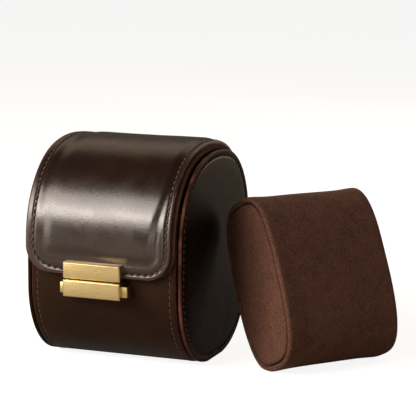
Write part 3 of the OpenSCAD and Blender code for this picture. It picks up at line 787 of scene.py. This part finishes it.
def wall_sheet(z_top, outer, inner, near, step, bevel):
    """A sheet from the front wall's top, down, under and up to the back wall's top."""
    s_back, s_front = at_height(z_top, 0, False), at_height(z_top, 0, True)
    rows = stops(s_back + ROUND - s_front, [0, 0.6, 1.4, 3.0], step)
    cols = [v + WALL_LEFT_X for v in stops(WALL_RIGHT_X - WALL_LEFT_X, near, step*1.6)]
    bm, (at_s, at_x, at_d), spots = flat_grid(rows, cols)
    for v, run, x in spots:
        v[at_s], v[at_x] = (s_front + run) % ROUND, x
        v[at_d] = max(0.0, min(x - WALL_LEFT_X, WALL_RIGHT_X - x))
        v.co = place(v[at_s], outer(v[at_d], v[at_s], x), x)
    return with_inside(bm, at_s, at_x, at_d, inner, bevel)


def wall_skin(d, s, x):
    """Outer face of the wall's leather, drawn in along its stitches."""
    return -rounding(d) - WALL_CREASE_H*hollow(d, WALL_STITCH_IN, CREASE_W)


finish_piece(wall_sheet(WALL_HIGH, wall_skin, lambda d, s, x: -WALL_LEATHER_T + 0.02, HEM[:-2], 2.4, 0.35),
             "wall_skin", WALL_HIDE, "case", ["tub_leather"])
finish_piece(wall_sheet(WALL_TOP - BINDING_DROP, lambda d, s, x: -WALL_T + WALL_LINING_T - 0.02,
                        lambda d, s, x: -WALL_T, [0, 1.0, 3.0], 3.0, 0.0),
             "wall_suede", LINING_SUEDE, "case", ["tub_lining"])


WALL_ROW_PARTS = 300


def wall_rows():
    """The two stitch lines along the wall's side edges, as paths for stitch_row."""
    rows = []
    s_back, s_front = at_height(WALL_HIGH - 2, 0, False), at_height(WALL_HIGH - 2, 0, True)
    length = s_back + ROUND - s_front
    for x in (WALL_LEFT_X + WALL_STITCH_IN, WALL_RIGHT_X - WALL_STITCH_IN):
        path = []
        for i in range(WALL_ROW_PARTS + 1):
            s = (s_front + length*i/WALL_ROW_PARTS) % ROUND
            t = (s_front + length*(i + 0.01)/WALL_ROW_PARTS) % ROUND
            ahead = (place(t, 0, x) - place(s, 0, x)).normalized()
            path.append((place(s, -0.16, x), ahead, Vector((0, *facing(s)))))
        rows.append(path)
    return rows


stitches("wall_stitching", wall_rows(), DARK_THREAD, "case", "case_leather", length=2.5, width=0.5, lift=0.12,
         slant=8)


def rim_binding():
    """Leather folded over the wall's free upper edges, front and back."""
    bm = bmesh.new()
    inner, outer, fold = -WALL_T, -0.05, WALL_LINING_T - WALL_T
    for front in (True, False):
        high = at_height(WALL_TOP, inner, front)
        low_in = at_height(WALL_TOP - BINDING_DROP, inner, front)
        low_out = at_height(WALL_TOP - WALL_LINING_T, outer, front)
        drop = at_height(WALL_TOP - BINDING_DROP, fold, front)
        under = at_height(WALL_TOP - WALL_LINING_T, fold, front)
        profile = ((low_in, inner), ((low_in + high)/2, inner), (high, inner), (high, outer),
                   (low_out, outer), (under, fold), ((under + drop)/2, fold), (drop, fold))
        face = bm.faces.new([bm.verts.new(place(s, off, WALL_LEFT_X)) for s, off in profile])
        bmesh.ops.translate(bm, verts=doubled(bm, [face]), vec=((WALL_RIGHT_X - WALL_LEFT_X)*MM, 0, 0))
    face_outwards(bm)
    round_edges(bm, [e for e in bm.edges if e.calc_face_angle() > 0.6], 0.22)
    return bm


finish_piece(rim_binding(), "wall_rim_binding", WALL_HIDE, "case", ["rim_binding"], angle=40)


# -------------------- end panels

DISC_AROUND, PANEL_ROW_PARTS = 200, 400
PANEL_STITCH_IN = 2.8


def disc(outline_off, x0, x1, insets, relief, bevel, painted=True):
    """A flat piece with the drum's outline: x0 is its inner face and x1 its outer one, shaped by relief."""
    bm = bmesh.new()
    face = bm.faces.new([bm.verts.new(place(ROUND*i/DISC_AROUND, outline_off, x1))
                         for i in range(DISC_AROUND)])
    at_d = bm.verts.layers.float.new("d")
    bmesh.ops.translate(bm, verts=doubled(bm, [face]), vec=((x0 - x1)*MM, 0, 0))
    last = 0.0
    for d in insets:
        bmesh.ops.inset_region(bm, faces=[face], thickness=(d - last)*MM, use_even_offset=True)
        for v in face.verts:
            v[at_d] = d
        last = d
    out = 1 if x1 > x0 else -1
    for v in bm.verts:
        if v[at_d] > 0 or abs(v.co.x - x1*MM) < 1e-7:
            v.co.x += out*relief(v[at_d])*MM
    face_outwards(bm)
    round_edges(bm, [e for e in bm.edges if e.calc_face_angle() > SHARP_TURN], bevel)
    bmesh.ops.triangulate(bm, faces=[f for f in bm.faces if len(f.verts) > 20])
    if painted:
        mark_edges(bm)
    return bm


def panel_relief(d):
    """How far an end panel's outer face stands out: a rim, a stitched crease and a padded middle."""
    return 0.35*ease((d - PANEL_STITCH_IN)/6) - 0.42*hollow(d, PANEL_STITCH_IN, 0.6) - 0.35


def panel_row(x, side):
    """The stitch line round an end panel, as a path for stitch_row."""
    path = []
    for i in range(PANEL_ROW_PARTS + 1):
        s = (ROUND*i/PANEL_ROW_PARTS) % ROUND
        t = (ROUND*(i + 0.05)/PANEL_ROW_PARTS) % ROUND
        p, q = place(s, -PANEL_STITCH_IN, x), place(t, -PANEL_STITCH_IN, x)
        path.append((p, (q - p).normalized(), Vector((side, 0, 0))))
    return path


PANEL_RINGS = [0.7, 1.2, 1.6, 2.0, 2.3, 2.6, 2.9, 3.2, 3.6, 4.1, 4.8, 5.8, 7.2, 9.0]
for label, side, near_x, plug_x in (("left", -1, PANEL_LEFT_X, WALL_LEFT_X + BOARD_PLUG),
                                    ("right", 1, PANEL_RIGHT_X, WALL_RIGHT_X - BOARD_PLUG)):
    far_x = near_x + side*PANEL_T
    finish_piece(disc(0.0, near_x, far_x, PANEL_RINGS, panel_relief, 0.45, painted=side > 0),
                 f"end_skin_{label}", PANEL_HIDE, "case", [f"end_panel_{label}"])
    stitches(f"end_stitching_{label}", [panel_row(far_x - side*0.45, side)], DARK_THREAD, "case",
             "panel_leather", length=2.3, width=0.8, lift=0.2, slant=24*side)
    finish_piece(disc(-WALL_T - PLUG_GAP, plug_x - side*0.02, plug_x - side*PANEL_LINING_T, [0.5, 1.5],
                      lambda d: 0.0, 0.25),
                 f"end_suede_{label}", LINING_SUEDE, "case", [f"end_lining_{label}"])


# -------------------- brass and steel with softened edges

def own_shape(node):
    """A CAD node's own shape, with its doubled vertices merged."""
    bm = bmesh.new()
    bm.from_mesh(frame["nodes"][node].data)
    bmesh.ops.remove_doubles(bm, verts=bm.verts[:], dist=1e-6)
    return bm


for node, name, body, width in (("clasp_block", "upper_clasp_block", "lid", 0.1),
                                ("catch_housing", "lower_clasp_block", "case", 0.1),
                                ("button_left", "left_push_button", "button_left", 0.08),
                                ("button_right", "right_push_button", "button_right", 0.08)):
    shape = own_shape(node)
    bmesh.ops.dissolve_limit(shape, angle_limit=math.radians(1), verts=shape.verts[:], edges=shape.edges[:])
    round_edges(shape, [e for e in shape.edges if len(e.link_faces) == 2
                        and e.calc_face_angle() > math.radians(25)], width, segments=2)
    finish_piece(shape, name, BRASS, body, [node], angle=35)


def spring_half(name, side):
    """One half of the catch spring, which its button pushes together."""
    low, high = (Vector(c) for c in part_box("catch_spring"))
    middle = (low + high)/2
    bm = own_shape("catch_spring")
    bmesh.ops.bisect_plane(bm, geom=bm.verts[:] + bm.edges[:] + bm.faces[:], plane_co=middle,
                           plane_no=(side, 0, 0), clear_inner=True)
    bmesh.ops.holes_fill(bm, edges=[e for e in bm.edges if e.is_boundary], sides=0)
    half = finish_piece(bm, name, STEEL, "case", ["catch_spring"], angle=40)
    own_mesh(half)


spring_half("push_spring_left", -1)
spring_half("push_spring_right", 1)


# -------------------- cushion

def place_cushion():
    """Where the cushion stands: turned and leaning back, resting on its lower front edge."""
    pts = [outline_point(k, CUSHION_CROWN) for k in range(360)]
    lean = math.radians(CUSHION_LEAN)
    low = min(z*math.cos(lean) - y*math.sin(lean) for y, z in pts)
    return (Matrix.Translation(Vector((CUSHION_AT[0], CUSHION_AT[1], -low))*MM)
            @ Matrix.Rotation(math.radians(CUSHION_TURN), 4, "Z") @ Matrix.Rotation(-lean, 4, "X"))


def power(v, e):
    """abs(v) to the power e, with the sign of v."""
    return math.copysign(abs(v)**e, v)


def outline_point(k, off=0.0, around=360):
    """Point (y, z) of the cushion's outline at k of around, moved outwards by off, square to the outline."""

    def at(j):
        a = 2*math.pi*j/around
        return CUSHION_D/2*power(math.cos(a), 2/CUSHION_N), CUSHION_H/2*power(math.sin(a), 2/CUSHION_N)

    (y, z), (ya, za), (yb, zb) = at(k), at(k + 0.4), at(k - 0.4)
    dy, dz = ya - yb, za - zb
    n = math.hypot(dy, dz)
    return y + off*dz/n, z - off*dy/n


CUSHION_PLACE = place_cushion()
HALF_L = CUSHION_L/2
FORM_AROUND, FORM_FRAMES = 96, 20
MOST_SWELL = 2.6


def bridge_rings(bm, rings):
    """Joins each ring of vertices to the next one with a band of faces."""
    edges = []
    for ring in rings:
        edges.append([bm.edges.new((a, b)) for a, b in zip(ring, ring[1:] + ring[:1])])
    for a, b in zip(edges, edges[1:]):
        bmesh.ops.bridge_loops(bm, edges=a + b)


def inflated():
    """Foam and cover blown up a little by a cloth simulation, as one closed skin in the cushion's frame."""
    bm = bmesh.new()
    n = FORM_AROUND
    rings = []
    for x, off in ((-HALF_L + 1.6, -3.4), (-HALF_L + 3.6, -1.4), (HALF_L - 3.6, -1.4), (HALF_L - 1.6, -3.4)):
        rings.append([bm.verts.new(Vector((x, *outline_point(k, off, n)))*MM) for k in range(n)])
    bridge_rings(bm, rings)
    bm.faces.new(rings[0])
    bm.faces.new(rings[-1])
    face_outwards(bm)
    mesh = bpy.data.meshes.new("blown")
    bm.to_mesh(mesh)
    bm.free()
    blown = bpy.data.objects.new("blown", mesh)
    bpy.context.scene.collection.objects.link(blown)
    remesh = blown.modifiers.new("remesh", "REMESH")
    remesh.mode, remesh.voxel_size = "VOXEL", 4.5*MM
    apply_modifiers(blown)
    rest = [v.co.copy() for v in blown.data.vertices]
    cloth = blown.modifiers.new("cloth", "CLOTH")
    cloth.settings.quality = 6
    cloth.settings.mass = 0.3
    cloth.settings.use_pressure = True
    cloth.settings.uniform_pressure_force = 4.0
    cloth.settings.tension_stiffness = cloth.settings.compression_stiffness = 20
    cloth.settings.bending_stiffness = 2.0
    cloth.settings.effector_weights.gravity = 0
    scene = bpy.context.scene
    for f in range(1, FORM_FRAMES + 1):
        scene.frame_set(f)
    apply_modifiers(blown)
    scene.frame_set(1)
    for v, was in zip(blown.data.vertices, rest):
        move = v.co - was
        if move.length > MOST_SWELL*MM:
            v.co = was + move.normalized()*MOST_SWELL*MM
    return blown


def apply_modifiers(obj):
    """Leaves the object with the mesh that its modifiers make, and without them."""
    bpy.context.view_layer.update()
    graph = bpy.context.evaluated_depsgraph_get()
    mesh = bpy.data.meshes.new_from_object(obj.evaluated_get(graph))
    obj.modifiers.clear()
    old, obj.data = obj.data, mesh
    bpy.data.meshes.remove(old)


CUSHION_AROUND = 128
ROLL_R = 1.5


def cushion_rings():
    """The cover in section, from the middle of the band to the middle of an end face: (x, how far in from
    the outline, size of the ring). A narrow roll, then a pinched seam, then the end face, almost flat."""
    rings = [(x, 0.0, 1.0) for x in (0, 4, 8, 12, 16, 19.5, 22.5, 25, 27)]
    for i in range(8):
        a = math.radians(122)*i/7
        rings.append((HALF_L - 0.5 - ROLL_R + ROLL_R*math.sin(a), ROLL_R*(1 - math.cos(a)), 1.0))
    x, inset, _ = rings[-1]
    rings += [(x - down, inset + across, 1.0) for down, across in
              ((0.5, 0.1), (1.1, 0.3), (1.35, 0.55), (1.2, 0.8), (0.6, 1.0), (0.0, 1.4), (-0.3, 2.2))]
    x, inset, _ = rings[-1]
    return rings + [(x + 0.5*(1 - size**2), inset, size) for size in (0.93, 0.85, 0.74, 0.6, 0.45, 0.3, 0.15)]


SEARCH = 12
LEAST_SWELL, FULL_SWELL = -1.5, 1.6
BAND_OUT, SWELL_SHARE, UNEVEN_H, SINK = 0.35, 0.55, 0.22, 0.7


def cushion():
    """The padded cushion: a lofted skin laid on the blown form, with a rolled edge and a seam at each end."""
    blown = inflated()
    tree = BVHTree.FromObject(blown, bpy.context.evaluated_depsgraph_get())
    bm = bmesh.new()
    section = cushion_rings()
    full = [(-x, off, size) for x, off, size in reversed(section[1:])] + section
    # Painted shade: the edge attribute marks the seam grooves, where the suede is darkened to stand in for
    # their shade.
    seam_shade_mark = bm.verts.layers.float.new("edge")
    loops = []
    n = CUSHION_AROUND
    for x, off, size in full:
        loop = []
        for k in range(n):
            y, z = outline_point(k, -off, n)
            loop.append(bm.verts.new(Vector((x, y*size, z*size))*MM))
            loop[-1][seam_shade_mark] = hollow(off, 2*ROLL_R, 0.42) if size == 1.0 else 0.0
        loops.append(loop)
    bridge_rings(bm, loops)
    for loop in (loops[0], loops[-1]):
        cap = bm.faces.new(loop)
        bmesh.ops.poke(bm, faces=[cap])
    face_outwards(bm)
    bm.normal_update()
    for v in bm.verts:
        out = v.normal.copy()
        band = abs(v.co.x) < (HALF_L - 2.2)*MM
        swell = 1.0
        hit = tree.ray_cast(v.co + out*SEARCH*MM, -out, 2*SEARCH*MM)
        if hit[0] is not None:
            swell = min(max(SEARCH - hit[3]/MM, LEAST_SWELL), FULL_SWELL) if band else 0.0
        near_end = ease((HALF_L - 3 - abs(v.co.x)/MM)/9)
        v.co += out*MM*(near_end*(BAND_OUT + SWELL_SHARE*swell) if band else 0.0)
        v.co += out*MM*UNEVEN_H*noise.noise(v.co*55)
    for v in bm.verts:
        v.co = CUSHION_PLACE @ v.co
    low = min(v.co.z for v in bm.verts)
    for v in bm.verts:
        v.co.z = max(v.co.z - low - SINK*MM, 0.0)
    bpy.data.objects.remove(blown)
    return bm


CUSHION_NODES = ["cushion_core", "cushion_cover", "cushion_face_left", "cushion_face_right",
                 "cushion_welt_left", "cushion_welt_right"]
cushion_piece = finish_piece(cushion(), "cushion", CUSHION_SUEDE, "cushion", CUSHION_NODES)
finer = cushion_piece.modifiers.new("finer", "SUBSURF")
finer.levels = finer.render_levels = 1


# -------------------- finishes of the solids that stay

KEPT = {
    "tub_board": WALL_BOARD, "end_board_left": GROOVE_SHADE_BOARD, "end_board_right": GROOVE_SHADE_BOARD, "strap_board": BOARD,
    "lid_board": BOARD, "catch_washer_plate": STEEL, "catch_screws": STEEL,
    "clasp_washer_plate": STEEL, "clasp_screws": STEEL, "striker": STEEL,
}
for name, node in frame["nodes"].items():
    on_button = node.get("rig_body", "").startswith("button")
    node.data.materials.clear()
    node.data.materials.append(KEPT.get(name, BRASS if on_button else WALL_HIDE))


# -------------------- floor, backdrop, lights and camera

def share_seen(tree, glossy):
    """1 for rays from the camera or through glass, glossy for rays off a polished surface, else 0."""
    ray = add(tree, "LightPath")
    straight = maths(tree, "MAXIMUM", ray.outputs["Is Camera Ray"], ray.outputs["Is Transmission Ray"])
    return maths(tree, "MAXIMUM", straight, maths(tree, "MULTIPLY", ray.outputs["Is Glossy Ray"], glossy))


FLOOR_GLOW, FLOOR_IN_GLOSS, ROOM_IN_GLOSS = 0.89, 0.1, 0.01
ROOM_LOW, ROOM_HIGH = 0.13, 0.03
FLOOR_R, FLOOR_DROP = 9.0, 0.0002
WHITE = (1, 1, 1, 1)


def studio_floor():
    """A pale matt floor that glows for the camera, so that it shows white and keeps the shadow."""
    bm = bmesh.new()
    bmesh.ops.create_circle(bm, cap_ends=True, segments=96, radius=FLOOR_R)
    mesh = bpy.data.meshes.new("floor")
    bm.to_mesh(mesh)
    bm.free()
    floor = bpy.data.objects.new("floor", mesh)
    floor.location.z = -FLOOR_DROP
    bpy.context.scene.collection.objects.link(floor)
    m = bpy.data.materials.new("pale floor")
    m.use_nodes = True
    tree = m.node_tree
    tree.nodes.clear()
    end = tree.nodes.new("ShaderNodeOutputMaterial")
    matt = add(tree, "BsdfDiffuse", None, Color=(0.46, 0.42, 0.37, 1))
    shine = maths(tree, "MULTIPLY", share_seen(tree, FLOOR_IN_GLOSS), FLOOR_GLOW)
    glow = add(tree, "Emission", None, Color=WHITE, Strength=shine)
    both = add(tree, "AddShader")
    tree.links.new(matt.outputs[0], both.inputs[0])
    tree.links.new(glow.outputs[0], both.inputs[1])
    wire(tree, end, Surface=both.outputs[0])
    mesh.materials.append(m)


def studio_world():
    """A white room for the camera, and for everything else a dim one, lightest near the horizon."""
    world = bpy.data.worlds.new("studio")
    bpy.context.scene.world = world
    world.use_nodes = True
    tree = world.node_tree
    tree.nodes.clear()
    end = tree.nodes.new("ShaderNodeOutputWorld")
    up = add(tree, "SeparateXYZ", None, Vector=add(tree, "TexCoord").outputs["Generated"]).outputs[2]
    strength = spread(tree, maths(tree, "ABSOLUTE", up), 0.0, 0.9, ROOM_LOW, ROOM_HIGH)
    room = add(tree, "Background", None, Color=(1.0, 0.86, 0.74, 1), Strength=strength)
    white = add(tree, "Background", None, Color=WHITE, Strength=1.0)
    mix = add(tree, "MixShader")
    tree.links.new(share_seen(tree, ROOM_IN_GLOSS), mix.inputs[0])
    tree.links.new(room.outputs[0], mix.inputs[1])
    tree.links.new(white.outputs[0], mix.inputs[2])
    wire(tree, end, Surface=mix.outputs[0])


LIT_SPOT = Vector((0.02, 0, 0.05))


def softbox(name, azimuth, elevation, distance, size, radiance, blue=1.0):
    """A rectangular area light; radiance is how bright its face looks, where 1 is white, and blue its share
    of blue, less than 1 for a warm light."""
    a, e = math.radians(azimuth), math.radians(elevation)
    back = Vector((math.sin(a)*math.cos(e), -math.cos(a)*math.cos(e), math.sin(e)))
    data = bpy.data.lights.new(name, "AREA")
    data.shape = "RECTANGLE"
    data.size, data.size_y = size
    data.energy = radiance*size[0]*size[1]*math.pi
    data.color = (1.0, 0.5 + 0.5*blue, blue)
    lamp = bpy.data.objects.new(name, data)
    lamp.location = LIT_SPOT + back*distance
    lamp.rotation_mode = "QUATERNION"
    lamp.rotation_quaternion = (-back).to_track_quat("-Z", "Y")
    bpy.context.scene.collection.objects.link(lamp)


CAMERA_AT = Vector((374.07, -914.82, 249.24))
CAMERA_ANGLES = (20.29, 10.29, -0.57)


def studio_camera():
    """The photograph's own viewing angle."""
    azimuth, elevation, roll = (math.radians(v) for v in CAMERA_ANGLES)
    back = Vector((math.sin(azimuth)*math.cos(elevation), -math.cos(azimuth)*math.cos(elevation),
                   math.sin(elevation)))
    right = Vector((math.cos(azimuth), math.sin(azimuth), 0))
    up = back.cross(right)
    right, up = math.cos(roll)*right - math.sin(roll)*up, math.sin(roll)*right + math.cos(roll)*up
    data = bpy.data.cameras.new("camera")
    data.lens, data.sensor_width = 180.56, 36.0
    data.clip_start, data.clip_end = 0.05, 50
    camera = bpy.data.objects.new("camera", data)
    turned = Matrix((right, up, back)).transposed().to_4x4()
    turned.translation = CAMERA_AT*MM
    camera.matrix_world = turned
    bpy.context.scene.collection.objects.link(camera)
    bpy.context.scene.camera = camera


studio_floor()
studio_world()
softbox("front_key", -33, 31, 0.8, (0.62, 0.4), 5.2)
softbox("front_core", -33, 24, 0.78, (0.58, 0.15), 7.5)
softbox("left_strip", -45, 5, 0.75, (0.19, 0.28), 4.5, 0.95)
softbox("right_strip", 6, 4, 0.75, (0.24, 0.26), 1.8, 0.95)
softbox("back_light", -160, 42, 1.0, (1.0, 0.5), 0.5, 0.6)
softbox("right_back", 158, 12, 0.9, (0.4, 0.24), 6.5, 0.6)
studio_camera()

bpy.context.scene.view_settings.view_transform = "Standard"
